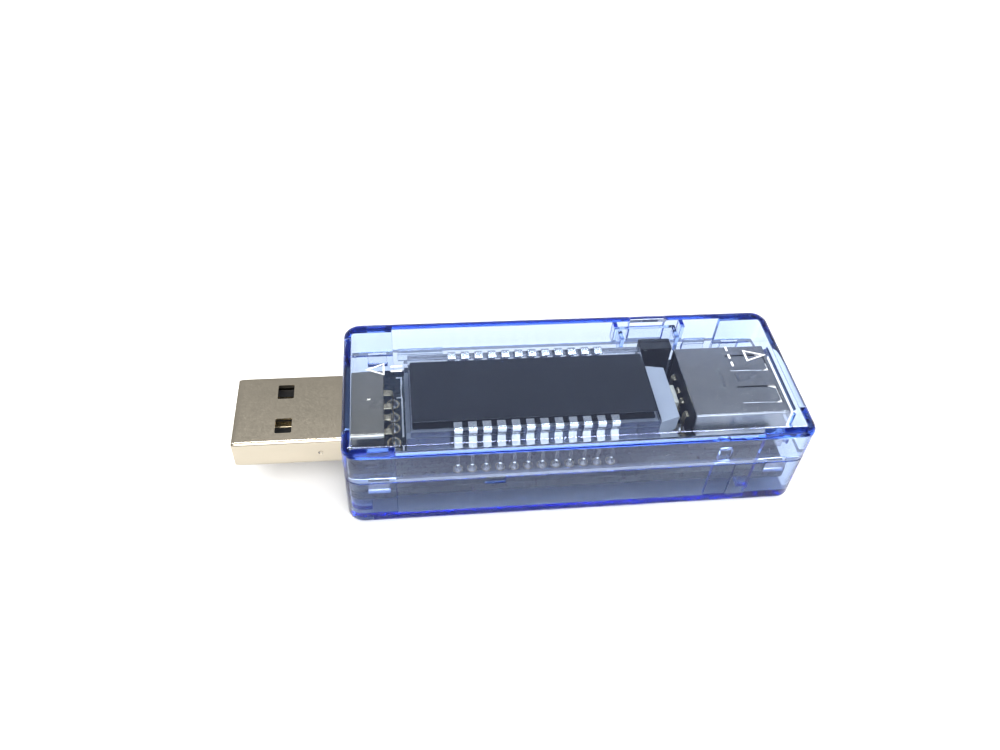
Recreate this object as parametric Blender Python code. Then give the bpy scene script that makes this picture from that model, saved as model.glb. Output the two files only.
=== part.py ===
"""USB power meter: a see-through case with a USB-A plug at one end, a USB-A socket at the
other, a pin-mounted LCD between them and a push button in the back wall.

Frame: X runs along the case with the plug towards -X, Z is up, and the origin is the centre
of the footprint at the underside.  Lengths are in metres.
"""

import math

import bmesh
import bpy

MM = 0.001

# ---------------------------------------------------------------- driving dimensions
CASE_LENGTH = 62.1 * MM
CASE_WIDTH = 24.3 * MM
CASE_HEIGHT = 14.3 * MM
SEAM_HEIGHT = 8.6 * MM
PLUG_REACH = 14.4 * MM          # how far the plug stands out of the case
WALL = 1.05 * MM
PLATE = 1.25 * MM               # top and bottom plates
CORNER_RADIUS = 2.3 * MM
TOP_EDGE = 1.0 * MM
BOTTOM_EDGE = 0.8 * MM
INNER_FILLET = 0.6 * MM
FIT_GAP = 0.05 * MM             # pieces that rest on each other
LOOSE_GAP = 0.1 * MM            # pieces that slip into each other

BOARD_BOTTOM = 4.0 * MM
BOARD_TOP = 5.6 * MM
BOARD_WIDTH = 20.4 * MM
LEAD_END = 3.3 * MM             # lowest point of the soldered leads

PLUG_WIDTH = 12.0 * MM
PLUG_HEIGHT = 4.5 * MM
PLUG_INSIDE = 5.3 * MM          # length of plug shell inside the case
SHELL_SHEET = 0.3 * MM
CONTACT_SHEET = 0.2 * MM
CONTACT_WIDTH = 1.0 * MM
CONTACT_OFFSETS = (-3.5 * MM, -1.0 * MM, 1.0 * MM, 3.5 * MM)

SOCKET_WIDTH = 13.1 * MM
SOCKET_HEIGHT = 5.8 * MM
SOCKET_START = 47.2 * MM        # measured from the plug end of the case
SOCKET_END = 60.5 * MM

DISPLAY_START = 8.2 * MM
DISPLAY_END = 42.0 * MM
DISPLAY_BACK = 6.75 * MM
DISPLAY_FRONT = -7.4 * MM
GLASS = 1.05 * MM
REAR_GLASS_BOTTOM = 10.0 * MM
PIN_COUNT = 12
PIN_PITCH = 1.9 * MM
FIRST_PIN = 14.9 * MM
PIN_WIDTH = 1.15 * MM
PIN_SHEET = 0.22 * MM
LEG_WIDTH = 0.42 * MM

BUTTON_WIDTH = 5.0 * MM
BUTTON_START = 41.5 * MM

# ---------------------------------------------------------------- derived places
CASE_LEFT = (PLUG_REACH - CASE_LENGTH) / 2
CASE_RIGHT = CASE_LEFT + CASE_LENGTH
HALF_WIDTH = CASE_WIDTH / 2
INNER_HALF = HALF_WIDTH - WALL
CEILING = CASE_HEIGHT - PLATE
TIP = CASE_LEFT - PLUG_REACH
PLUG_BOTTOM = BOARD_TOP + FIT_GAP
PLUG_TOP = PLUG_BOTTOM + PLUG_HEIGHT
SOCKET_BOTTOM = BOARD_TOP + 0.25 * MM
SOCKET_TOP = SOCKET_BOTTOM + SOCKET_HEIGHT
FRONT_GLASS_BOTTOM = REAR_GLASS_BOTTOM + GLASS + 0.02 * MM
GLASS_TOP = FRONT_GLASS_BOTTOM + GLASS


def along(distance):
    """World X of a point given its distance from the plug end of the case."""
    return CASE_LEFT + distance


# ---------------------------------------------------------------- scene helpers
def clear_scene():
    for thing in list(bpy.data.objects):
        bpy.data.objects.remove(thing, do_unlink=True)
    for group in list(bpy.data.collections):
        bpy.data.collections.remove(group)


def new_collection(name):
    group = bpy.data.collections.new(name)
    bpy.context.scene.collection.children.link(group)
    return group


def make_material(name, colour, roughness, metallic=0.0, alpha=1.0):
    material = bpy.data.materials.new(name)
    material.use_nodes = True
    shader = material.node_tree.nodes["Principled BSDF"]
    shader.inputs["Base Color"].default_value = (*colour, 1.0)
    shader.inputs["Roughness"].default_value = roughness
    shader.inputs["Metallic"].default_value = metallic
    shader.inputs["Alpha"].default_value = alpha
    material.diffuse_color = (*colour, alpha)
    return material


def place(name, mesh, centre, material, group, smooth=False):
    """Put a mesh into the scene as a named object with its material."""
    piece = bpy.data.objects.new(name, mesh)
    piece.location = centre
    if not mesh.materials and material:
        mesh.materials.append(material)
    if smooth:
        mesh.shade_smooth()
        mesh.set_sharp_from_angle(angle=math.radians(35))
    group.objects.link(piece)
    return piece


def box_mesh(name, size, edge=0.0, upright_edge=0.0, upright_steps=6, top_edge=0.0, bottom_edge=0.0):
    """A box about the origin, with optional rounding of chosen edges."""
    work = bmesh.new()
    bmesh.ops.create_cube(work, size=1.0)
    bmesh.ops.scale(work, vec=size, verts=work.verts)
    if upright_edge:
        upright = [e for e in work.edges if abs(e.verts[0].co.z - e.verts[1].co.z) > size[2] / 2]
        bmesh.ops.bevel(work, geom=upright, offset=upright_edge, segments=upright_steps,
                        profile=0.5, affect="EDGES")
    for edge_size, level in ((top_edge, size[2] / 2), (bottom_edge, -size[2] / 2)):
        if edge_size:
            rim = [e for e in work.edges if all(abs(v.co.z - level) < 1e-7 for v in e.verts)]
            bmesh.ops.bevel(work, geom=rim, offset=edge_size, segments=3, profile=0.5,
                            affect="EDGES")
    if edge:
        bmesh.ops.bevel(work, geom=list(work.edges), offset=edge, segments=2, profile=0.5,
                        affect="EDGES")
    mesh = bpy.data.meshes.new(name)
    work.to_mesh(mesh)
    work.free()
    return mesh


def box(name, x_range, y_range, z_range, material, group, smooth=False, **rounding):
    """A box given by its ranges along X, Y and Z."""
    ranges = (x_range, y_range, z_range)
    size = [high - low for low, high in ranges]
    centre = [(high + low) / 2 for low, high in ranges]
    return place(name, box_mesh(name, size, **rounding), centre, material, group, smooth)


def many_boxes(name, blocks, group):
    """Several separate boxes in one object, used as one boolean operand."""
    work = bmesh.new()
    for x_range, y_range, z_range in blocks:
        made = bmesh.ops.create_cube(work, size=1.0)["verts"]
        ranges = (x_range, y_range, z_range)
        bmesh.ops.scale(work, vec=[high - low for low, high in ranges], verts=made)
        bmesh.ops.translate(work, vec=[(high + low) / 2 for low, high in ranges], verts=made)
    mesh = bpy.data.meshes.new(name)
    work.to_mesh(mesh)
    work.free()
    return place(name, mesh, (0, 0, 0), None, group)


def outline_mesh(name, outlines, thickness):
    """A flat plate in the XY plane, from one outer outline and any inner ones."""
    curve = bpy.data.curves.new(name, "CURVE")
    curve.dimensions = "2D"
    curve.fill_mode = "BOTH"
    curve.extrude = thickness / 2
    for points in outlines:
        spline = curve.splines.new("POLY")
        spline.points.add(len(points) - 1)
        for control, (x, y) in zip(spline.points, points):
            control.co = (x, y, 0, 1)
        spline.use_cyclic_u = True
    holder = bpy.data.objects.new(name, curve)
    bpy.context.scene.collection.objects.link(holder)
    evaluated = holder.evaluated_get(bpy.context.evaluated_depsgraph_get())
    mesh = bpy.data.meshes.new_from_object(evaluated)
    mesh.name = name
    bpy.data.objects.remove(holder, do_unlink=True)
    work = bmesh.new()
    work.from_mesh(mesh)
    bmesh.ops.remove_doubles(work, verts=work.verts, dist=1e-7)
    bmesh.ops.recalc_face_normals(work, faces=work.faces)
    work.to_mesh(mesh)
    work.free()
    mesh.materials.clear()
    return mesh


def turn_profile_along_x(piece):
    """Stand a flat outline up so that it is read as (Y, Z) and its thickness runs along X."""
    piece.rotation_euler = (math.radians(90), 0, math.radians(90))


def turn_profile_along_y(piece):
    """Stand a flat outline up so that it is read as (X, Z) and its thickness runs along Y."""
    piece.rotation_euler = (math.radians(90), 0, 0)


def rounded_rectangle(width, height, radius, steps=4):
    points = []
    for corner, (sx, sy) in enumerate(((1, 1), (-1, 1), (-1, -1), (1, -1))):
        for step in range(steps + 1):
            angle = math.radians(90 * corner + 90 * step / steps)
            points.append((sx * (width / 2 - radius) + radius * math.cos(angle),
                           sy * (height / 2 - radius) + radius * math.sin(angle)))
    return points


def strip_outline(path, thickness):
    """The outline of a bent strip of sheet, from the middle line of its side view."""
    left, right = [], []
    for index, (x, y) in enumerate(path):
        before = path[max(index - 1, 0)]
        after = path[min(index + 1, len(path) - 1)]
        back = math.atan2(y - before[1], x - before[0]) if index else None
        ahead = math.atan2(after[1] - y, after[0] - x) if index < len(path) - 1 else None
        back = ahead if back is None else back
        ahead = back if ahead is None else ahead
        half_turn = (ahead - back) / 2
        reach = thickness / 2 / math.cos(half_turn)
        normal = back + half_turn + math.pi / 2
        left.append((x + reach * math.cos(normal), y + reach * math.sin(normal)))
        right.append((x - reach * math.cos(normal), y - reach * math.sin(normal)))
    return left + right[::-1]


def boolean(piece, operand, operation):
    step = piece.modifiers.new(operand.name, "BOOLEAN")
    step.operation = operation
    step.object = operand
    step.solver = "EXACT"
    operand.hide_render = True
    operand.display_type = "WIRE"


# ---------------------------------------------------------------- case
def corner_blocks(low, high, start, end):
    """Blocks against the front and back walls, near both ends of the case."""
    blocks = []
    for side in (-1, 1):
        y_range = sorted((side * start, side * end))
        for first, last in ((1.0 * MM, 6.7 * MM), (54.9 * MM, CASE_LENGTH - 1.0 * MM)):
            blocks.append(((along(first), along(last)), y_range, (low, high)))
    return blocks


def peg_blocks(grow, low, high):
    """Flat pegs of the top cover, or with a positive grow the slots that take them."""
    blocks = []
    for side in (-1, 1):
        y_range = sorted((side * (10.8 * MM - grow), side * (11.5 * MM + grow)))
        for first in (3.1 * MM, CASE_LENGTH - 5.8 * MM):
            x_range = (along(first - grow), along(first + 2.7 * MM + grow))
            blocks.append((x_range, y_range, (low, high)))
    return blocks


def end_openings(low, high):
    """The plug opening and the socket opening, between two heights."""
    plug_half = PLUG_WIDTH / 2 + LOOSE_GAP
    socket_half = SOCKET_WIDTH / 2 - SHELL_SHEET
    plug_range = (max(low, PLUG_BOTTOM - LOOSE_GAP), min(high, PLUG_TOP + LOOSE_GAP))
    socket_range = (max(low, SOCKET_BOTTOM + SHELL_SHEET), min(high, SOCKET_TOP - SHELL_SHEET))
    return [
        ((CASE_LEFT - 1 * MM, CASE_LEFT + 2 * MM), (-plug_half, plug_half), plug_range),
        ((CASE_RIGHT - 2 * MM, CASE_RIGHT + 1 * MM), (-socket_half, socket_half), socket_range),
    ]


def make_top_cover(material, parts, cutters):
    cover = box("top_cover", (CASE_LEFT, CASE_RIGHT), (-HALF_WIDTH, HALF_WIDTH),
                (SEAM_HEIGHT, CASE_HEIGHT), material, parts, smooth=True,
                upright_edge=CORNER_RADIUS, top_edge=TOP_EDGE)
    cavity = box("top_cover_cavity", (CASE_LEFT + WALL, CASE_RIGHT - WALL),
                 (-INNER_HALF, INNER_HALF), (SEAM_HEIGHT - 4 * MM, CEILING), None, cutters,
                 upright_edge=CORNER_RADIUS - WALL, top_edge=INNER_FILLET)
    ribs = corner_blocks(SEAM_HEIGHT + FIT_GAP, CEILING + 0.3 * MM, 10.35 * MM, 11.55 * MM)
    # a stiffening rib on the front wall and two guides beside the button
    ribs.append(((along(49.3 * MM), along(51.0 * MM)), (-11.6 * MM, -10.4 * MM),
                 (SEAM_HEIGHT + 0.2 * MM, 11.0 * MM)))
    for first in (38.8 * MM, 48.7 * MM):
        ribs.append(((along(first), along(first + 0.6 * MM)), (9.3 * MM, 11.6 * MM),
                     (10.2 * MM, CEILING + 0.3 * MM)))
    pegs = peg_blocks(0.0, SEAM_HEIGHT - 2.1 * MM, SEAM_HEIGHT + 1 * MM)
    openings = end_openings(SEAM_HEIGHT - 1 * MM, CASE_HEIGHT)
    notch = (along(BUTTON_START - 0.25 * MM), along(BUTTON_START + BUTTON_WIDTH + 0.25 * MM))
    openings.append((notch, (10.6 * MM, HALF_WIDTH + 1 * MM), (9.3 * MM, CASE_HEIGHT + 1 * MM)))
    boolean(cover, cavity, "DIFFERENCE")
    boolean(cover, many_boxes("top_cover_ribs", ribs, cutters), "UNION")
    boolean(cover, many_boxes("top_cover_pegs", pegs, cutters), "UNION")
    boolean(cover, many_boxes("top_cover_openings", openings, cutters), "DIFFERENCE")
    return cover


def board_posts():
    """Posts of the bottom cover that the circuit board rests on."""
    posts = []
    for first in (1.8 * MM, 54.2 * MM):
        for side in (-1, 1):
            y_range = sorted((side * 8.4 * MM, side * 9.8 * MM))
            posts.append(((along(first), along(first + 1.5 * MM)), y_range,
                          (PLATE - 0.4 * MM, BOARD_BOTTOM - FIT_GAP)))
    return posts


def tongue_blocks():
    """Short tongues at the seam that line the bottom cover up inside the top cover."""
    shelves, uprights = [], []
    for first, last in ((7.4 * MM, 14.0 * MM), (50.2 * MM, 53.6 * MM)):
        shelves.append(((along(first), along(last)), (10.45 * MM, 11.5 * MM),
                        (SEAM_HEIGHT - 1.4 * MM, SEAM_HEIGHT - 0.35 * MM)))
        uprights.append(((along(first), along(last)), (10.45 * MM, 10.9 * MM),
                         (SEAM_HEIGHT - 1.0 * MM, SEAM_HEIGHT + 0.8 * MM)))
    return shelves, uprights


def make_bottom_cover(material, parts, cutters):
    top = SEAM_HEIGHT - FIT_GAP
    cover = box("bottom_cover", (CASE_LEFT, CASE_RIGHT), (-HALF_WIDTH, HALF_WIDTH), (0.0, top),
                material, parts, smooth=True, upright_edge=CORNER_RADIUS, bottom_edge=BOTTOM_EDGE)
    cavity = box("bottom_cover_cavity", (CASE_LEFT + WALL, CASE_RIGHT - WALL),
                 (-INNER_HALF, INNER_HALF), (PLATE, top + 4 * MM), None, cutters,
                 upright_edge=CORNER_RADIUS - WALL, bottom_edge=INNER_FILLET)
    shelves, uprights = tongue_blocks()
    blocks = corner_blocks(PLATE - 0.5 * MM, top - FIT_GAP, 10.35 * MM, 11.55 * MM) + shelves
    # a rib on the front wall under the one in the top cover
    blocks.append(((along(49.0 * MM), along(52.2 * MM)), (-11.6 * MM, -10.45 * MM),
                   (PLATE - 0.5 * MM, top - 0.2 * MM)))
    slots = peg_blocks(LOOSE_GAP, SEAM_HEIGHT - 2.4 * MM, SEAM_HEIGHT + 1 * MM)
    openings = end_openings(0.0, SEAM_HEIGHT + 1 * MM) + slots
    # a shallow slot in the outer face for prising the covers apart
    openings.append(((along(18.1 * MM), along(20.8 * MM)),
                     (-HALF_WIDTH - 1 * MM, -HALF_WIDTH + 0.35 * MM),
                     (SEAM_HEIGHT - 1.3 * MM, SEAM_HEIGHT + 1 * MM)))
    boolean(cover, cavity, "DIFFERENCE")
    boolean(cover, many_boxes("bottom_cover_blocks", blocks, cutters), "UNION")
    boolean(cover, many_boxes("bottom_cover_tongues", uprights, cutters), "UNION")
    boolean(cover, many_boxes("bottom_cover_posts", board_posts(), cutters), "UNION")
    boolean(cover, many_boxes("bottom_cover_openings", openings, cutters), "DIFFERENCE")
    return cover


def make_arrow(name, tip_x, base_x, middle_y, material, parts):
    """A raised triangle outline on the top plate that points from its base to its tip."""
    half_base = 1.1 * MM
    line = 0.76
    middle_x = base_x + (tip_x - base_x) / 3
    corners = [(tip_x, middle_y), (base_x, middle_y + half_base), (base_x, middle_y - half_base)]
    inner = [(middle_x + line * (x - middle_x), middle_y + line * (y - middle_y))
             for x, y in corners]
    thickness = 0.08 * MM
    mesh = outline_mesh(name, [corners, inner], thickness)
    height = CASE_HEIGHT + 0.01 * MM + thickness / 2
    return place(name, mesh, (0, 0, height), material, parts)


# ---------------------------------------------------------------- button and its switch
def make_reset_button(material, parts, cutters):
    """A cap in the back wall, on a wider plate with two guide arms behind the wall."""
    low, high = 9.5 * MM, 12.2 * MM
    plate = box("reset_button", (along(39.6 * MM), along(48.4 * MM)), (10.35 * MM, 10.95 * MM),
                (low, high), material, parts)
    cap_range = (along(BUTTON_START), along(BUTTON_START + BUTTON_WIDTH))
    arms = [((along(first), along(first + 0.6 * MM)), (8.2 * MM, 10.6 * MM),
             (low + 0.01 * MM, high - 0.01 * MM)) for first in (39.61 * MM, 47.79 * MM)]
    foot = [(cap_range, (10.7 * MM, 11.8 * MM), (low + 0.1 * MM, high - 0.2 * MM))]
    cap = [(cap_range, (11.15 * MM, HALF_WIDTH - 0.02 * MM), (9.45 * MM, CASE_HEIGHT - 0.02 * MM))]
    boolean(plate, many_boxes("reset_button_arms", arms, cutters), "UNION")
    boolean(plate, many_boxes("reset_button_foot", foot, cutters), "UNION")
    boolean(plate, many_boxes("reset_button_cap", cap, cutters), "UNION")
    return plate


def make_tact_switch(plastic, metal, parts, cutters):
    left, right = along(42.8 * MM), along(47.5 * MM)
    middle = along(45.1 * MM)
    back = 9.8 * MM
    stem = 0.8 * MM
    level = 9.3 * MM
    body = box("switch_body", (left, right), (7.7 * MM, back), (BOARD_TOP + FIT_GAP, 10.6 * MM),
               plastic, parts, edge=0.12 * MM)
    bore = many_boxes("switch_bore", [((middle - stem - LOOSE_GAP, middle + stem + LOOSE_GAP),
                                       (back - 1.3 * MM, back + 1 * MM),
                                       (level - stem - LOOSE_GAP, level + stem + LOOSE_GAP))],
                      cutters)
    boolean(body, bore, "DIFFERENCE")
    box("switch_plunger", (middle - stem, middle + stem), (back - 0.9 * MM, 10.32 * MM),
        (level - stem, level + stem), plastic, parts, edge=0.15 * MM)
    for label, x in (("left", left + 0.6 * MM), ("right", right - 0.6 * MM)):
        box("switch_terminal_" + label, (x - 0.3 * MM, x + 0.3 * MM), (8.55 * MM, 8.85 * MM),
            (LEAD_END, BOARD_TOP), metal, parts)


# ---------------------------------------------------------------- USB plug and socket
def make_shell(name, width, height, radius, start, end, bottom, material, parts):
    """A rounded rectangular tube of sheet metal along X."""
    outer = rounded_rectangle(width, height, radius)
    inner = rounded_rectangle(width - 2 * SHELL_SHEET, height - 2 * SHELL_SHEET,
                              radius - SHELL_SHEET)
    mesh = outline_mesh(name, [outer, inner], end - start)
    shell = place(name, mesh, ((start + end) / 2, 0, bottom + height / 2), material, parts,
                  smooth=True)
    turn_profile_along_x(shell)
    return shell


def shell_tabs(start, length, half_width):
    """Solder tabs that carry on the side walls of a shell down through the board."""
    tabs = []
    for side in (-1, 1):
        y_range = sorted((side * (half_width - 0.28 * MM), side * (half_width - 0.02 * MM)))
        tabs.append(((start, start + length), y_range, (LEAD_END, BOARD_TOP + 1.4 * MM)))
    return tabs


def make_plug(metal, plastic, gold, parts, cutters):
    end = CASE_LEFT + PLUG_INSIDE
    shell = make_shell("plug_shell", PLUG_WIDTH, PLUG_HEIGHT, 0.7 * MM, TIP, end, PLUG_BOTTOM,
                       metal, parts)
    tabs = shell_tabs(along(2.6 * MM), 1.6 * MM, PLUG_WIDTH / 2)
    windows = []
    for side in (-1, 1):
        y_range = sorted((side * 1.78 * MM, side * 4.28 * MM))
        for level in (PLUG_BOTTOM, PLUG_TOP):
            windows.append(((TIP + 5.45 * MM, TIP + 7.6 * MM), y_range,
                            (level - 0.5 * MM, level + 0.5 * MM)))
    boolean(shell, many_boxes("plug_shell_tabs", tabs, cutters), "UNION")
    boolean(shell, many_boxes("plug_shell_windows", windows, cutters), "DIFFERENCE")

    floor = PLUG_BOTTOM + SHELL_SHEET + 0.13 * MM
    roof = PLUG_TOP - SHELL_SHEET - 0.03 * MM
    half = PLUG_WIDTH / 2 - SHELL_SHEET - 0.13 * MM
    deck = PLUG_BOTTOM + 2.25 * MM
    holder = box("plug_insulator", (TIP + 0.7 * MM, end - 0.1 * MM), (-half, half), (floor, deck),
                 plastic, parts, upright_edge=0.3 * MM, upright_steps=2)
    block = [((CASE_LEFT - 3.0 * MM, end - 0.12 * MM), (-half + 0.4 * MM, half - 0.4 * MM),
              (deck - 0.6 * MM, roof))]
    channels = [((TIP, end + 1 * MM), (y - 0.6 * MM, y + 0.6 * MM), (deck - 0.02 * MM, deck + 0.32 * MM))
                for y in CONTACT_OFFSETS]
    boolean(holder, many_boxes("plug_insulator_block", block, cutters), "UNION")
    boolean(holder, many_boxes("plug_insulator_channels", channels, cutters), "DIFFERENCE")

    level = deck + 0.13 * MM
    for number, y in enumerate(CONTACT_OFFSETS, start=1):
        outer_pair = number in (1, len(CONTACT_OFFSETS))
        front = TIP + (1.4 * MM if outer_pair else 2.4 * MM)
        path = [(front, level), (along(6.1 * MM), level), (along(6.5 * MM), level - 0.4 * MM),
                (along(6.5 * MM), LEAD_END)]
        make_contact("plug_contact_%d" % number, path, y, gold, parts)


def make_contact(name, path, y, material, parts):
    """A bent strip in a plane of constant Y."""
    mesh = outline_mesh(name, [strip_outline(path, CONTACT_SHEET)], CONTACT_WIDTH)
    contact = place(name, mesh, (0, y, 0), material, parts)
    turn_profile_along_y(contact)
    return contact


def make_socket(metal, plastic, gold, parts, cutters):
    start, end = along(SOCKET_START), along(SOCKET_END)
    shell = make_shell("socket_shell", SOCKET_WIDTH, SOCKET_HEIGHT, 0.45 * MM, start, end,
                       SOCKET_BOTTOM, metal, parts)
    tabs = shell_tabs(along(49.7 * MM), 2.0 * MM, SOCKET_WIDTH / 2)
    boolean(shell, many_boxes("socket_shell_tabs", tabs, cutters), "UNION")
    for label, level in (("top", SOCKET_TOP), ("bottom", SOCKET_BOTTOM)):
        slots = spring_finger_slots("socket_slots_" + label, level, cutters)
        boolean(shell, slots, "DIFFERENCE")

    floor = SOCKET_BOTTOM + SHELL_SHEET + 0.03 * MM
    roof = SOCKET_TOP - SHELL_SHEET - 0.03 * MM
    tongue_bottom = SOCKET_BOTTOM + 3.05 * MM
    holder = box("socket_insulator", (start + 0.1 * MM, start + 3.4 * MM), (-5.75 * MM, 5.75 * MM),
                 (floor, roof), plastic, parts)
    tongue = [((start + 3.0 * MM, end - 1.1 * MM), (-5.5 * MM, 5.5 * MM),
               (tongue_bottom, tongue_bottom + 1.85 * MM))]
    channels = [((start - 1 * MM, end), (y - 0.6 * MM, y + 0.6 * MM),
                 (tongue_bottom - 0.34 * MM, tongue_bottom + 0.02 * MM)) for y in CONTACT_OFFSETS]
    boolean(holder, many_boxes("socket_insulator_tongue", tongue, cutters), "UNION")
    boolean(holder, many_boxes("socket_insulator_channels", channels, cutters), "DIFFERENCE")

    level = tongue_bottom - 0.12 * MM
    for number, y in enumerate(CONTACT_OFFSETS, start=1):
        path = [(end - 1.6 * MM, level), (start - 0.1 * MM, level),
                (start - 0.35 * MM, level - 0.25 * MM), (start - 0.35 * MM, LEAD_END)]
        make_contact("socket_contact_%d" % number, path, y, gold, parts)


def spring_finger_slots(name, level, cutters):
    """Slots that free two spring fingers in a wall of the socket shell, open round the tips."""
    root, shoulder = along(54.3 * MM), along(58.3 * MM)
    tip, mouth = along(59.7 * MM), along(60.0 * MM)
    slit, taper = 0.25 * MM, 0.7 * MM
    work = bmesh.new()
    for low, high in ((-4.7 * MM, -1.4 * MM), (1.4 * MM, 4.7 * MM)):
        outline = [(root, low), (mouth, low), (mouth, high), (root, high),
                   (root, high - slit), (shoulder, high - slit), (tip, high - slit - taper),
                   (tip, low + slit + taper), (shoulder, low + slit), (root, low + slit)]
        mesh = outline_mesh(name, [outline], 1.0 * MM)
        work.from_mesh(mesh)
        bpy.data.meshes.remove(mesh)
    mesh = bpy.data.meshes.new(name)
    work.to_mesh(mesh)
    work.free()
    return place(name, mesh, (0, 0, level), None, cutters)


# ---------------------------------------------------------------- display
def make_display(glass, film, resin, guide_white, led_white, parts):
    x_range = (along(DISPLAY_START), along(DISPLAY_END))
    y_range = (DISPLAY_FRONT, DISPLAY_BACK)
    box("lcd_rear_glass", x_range, y_range, (REAR_GLASS_BOTTOM, REAR_GLASS_BOTTOM + GLASS),
        glass, parts)
    box("lcd_front_glass", (along(DISPLAY_START + 0.55 * MM), x_range[1]), y_range,
        (FRONT_GLASS_BOTTOM, GLASS_TOP), glass, parts)
    film_x = (along(DISPLAY_START + 0.8 * MM), along(DISPLAY_END - 0.25 * MM))
    film_y = (-5.75 * MM, 5.1 * MM)
    box("lcd_front_polariser", film_x, film_y, (GLASS_TOP + 0.02 * MM, GLASS_TOP + 0.2 * MM),
        film, parts)
    box("lcd_rear_polariser", film_x, film_y,
        (REAR_GLASS_BOTTOM - 0.16 * MM, REAR_GLASS_BOTTOM - 0.02 * MM), film, parts)
    make_fill_seal(resin, parts)
    make_backlight(guide_white, led_white, parts)


def make_fill_seal(resin, parts):
    """A lens-shaped drop of resin that closes the filling port at the end of the cell."""
    half, sagitta = 1.9 * MM, 0.4 * MM
    middle_y = 0.9 * MM
    flat = along(DISPLAY_START) - 0.03 * MM
    radius = (half ** 2 + sagitta ** 2) / (2 * sagitta)
    spread = math.asin(half / radius)
    steps = 8
    points = []
    for step in range(steps + 1):
        angle = math.pi - spread + 2 * spread * step / steps
        points.append((flat + (radius - sagitta) + radius * math.cos(angle),
                       middle_y + radius * math.sin(angle)))
    mesh = outline_mesh("lcd_fill_seal", [points], 1.6 * MM)
    place("lcd_fill_seal", mesh, (0, 0, REAR_GLASS_BOTTOM + 1.1 * MM), resin, parts)


def make_backlight(guide_white, led_white, parts):
    """A white light guide under the cell, with a narrowing nose that holds the lamp."""
    bottom, top = 7.0 * MM, REAR_GLASS_BOTTOM - 0.2 * MM
    start, end, nose = along(9.0 * MM), along(42.4 * MM), along(45.6 * MM)
    back, front = 5.2 * MM, -5.8 * MM
    outline = [(start, front), (end, front), (nose, front + 1.0 * MM),
               (nose, back - 0.6 * MM), (end, back), (start, back)]
    mesh = outline_mesh("backlight_guide", [outline], top - bottom)
    place("backlight_guide", mesh, (0, 0, (top + bottom) / 2), guide_white, parts)
    box("backlight_lamp", (nose + FIT_GAP, nose + 0.7 * MM), (-2.0 * MM, 1.4 * MM),
        (BOARD_TOP + FIT_GAP, top - 0.3 * MM), led_white, parts)


def display_pin_mesh(side, material):
    """A clip over the edge of the cell with a narrow leg; side is -1 for the front row."""
    outer = abs(DISPLAY_FRONT if side < 0 else DISPLAY_BACK) + 0.32 * MM
    inner = outer - PIN_SHEET
    jaw = outer - 1.6 * MM
    top = GLASS_TOP + 0.03 * MM
    under = REAR_GLASS_BOTTOM - 0.03 * MM
    shoulder = REAR_GLASS_BOTTOM - 0.7 * MM
    profile = [(jaw, top), (jaw, top + PIN_SHEET), (outer - 0.15 * MM, top + PIN_SHEET),
               (outer, top + PIN_SHEET - 0.15 * MM), (outer, shoulder), (inner, shoulder),
               (inner, under - PIN_SHEET), (jaw + 0.2 * MM, under - PIN_SHEET),
               (jaw + 0.2 * MM, under), (inner, under), (inner, top)]
    clip_mesh = outline_mesh("display_clip", [[(side * y, z) for y, z in profile]], PIN_WIDTH)
    clip = place("display_clip", clip_mesh, (0, 0, 0), material, bpy.context.scene.collection)
    turn_profile_along_x(clip)
    y_range = sorted((side * (inner + 0.01 * MM), side * (outer - 0.01 * MM)))
    leg = many_boxes("display_leg", [((-LEG_WIDTH / 2, LEG_WIDTH / 2), y_range,
                                      (LEAD_END, shoulder + 0.3 * MM))],
                     bpy.context.scene.collection)
    boolean(clip, leg, "UNION")
    graph = bpy.context.evaluated_depsgraph_get()
    mesh = bpy.data.meshes.new_from_object(clip.evaluated_get(graph))
    mesh.transform(clip.matrix_world)
    mesh.name = "display_pin"
    mesh.materials.clear()
    mesh.materials.append(material)
    for helper in (clip, leg):
        bpy.data.objects.remove(helper, do_unlink=True)
    return mesh


def make_display_pins(material, parts):
    for row, side in (("front", -1), ("back", 1)):
        mesh = display_pin_mesh(side, material)
        for number in range(PIN_COUNT):
            x = along(FIRST_PIN + number * PIN_PITCH)
            name = "lcd_pin_%s_%02d" % (row, number + 1)
            place(name, mesh, (x, 0, 0), material, parts)


# ---------------------------------------------------------------- circuit board
def lead_holes():
    """A hole in the board round every lead and tab that goes through it."""
    low, high = BOARD_BOTTOM - 1 * MM, BOARD_TOP + 1 * MM
    ease = 0.12 * MM
    holes = []

    def hole(x, y, width, depth):
        holes.append(((x - width / 2 - ease, x + width / 2 + ease),
                      (y - depth / 2 - ease, y + depth / 2 + ease), (low, high)))

    for y in CONTACT_OFFSETS:
        hole(along(6.5 * MM), y, CONTACT_SHEET, CONTACT_WIDTH)
        hole(along(SOCKET_START) - 0.35 * MM, y, CONTACT_SHEET, CONTACT_WIDTH)
    for side in (-1, 1):
        hole(along(3.4 * MM), side * (PLUG_WIDTH / 2 - 0.15 * MM), 1.6 * MM, 0.26 * MM)
        hole(along(50.7 * MM), side * (SOCKET_WIDTH / 2 - 0.15 * MM), 2.0 * MM, 0.26 * MM)
        edge = abs(DISPLAY_FRONT if side < 0 else DISPLAY_BACK)
        leg_y = side * (edge + 0.32 * MM - PIN_SHEET / 2)
        for number in range(PIN_COUNT):
            hole(along(FIRST_PIN + number * PIN_PITCH), leg_y, LEG_WIDTH, PIN_SHEET)
    for x in (along(43.4 * MM), along(46.9 * MM)):
        hole(x, 8.7 * MM, 0.6 * MM, 0.3 * MM)
    return holes


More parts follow.
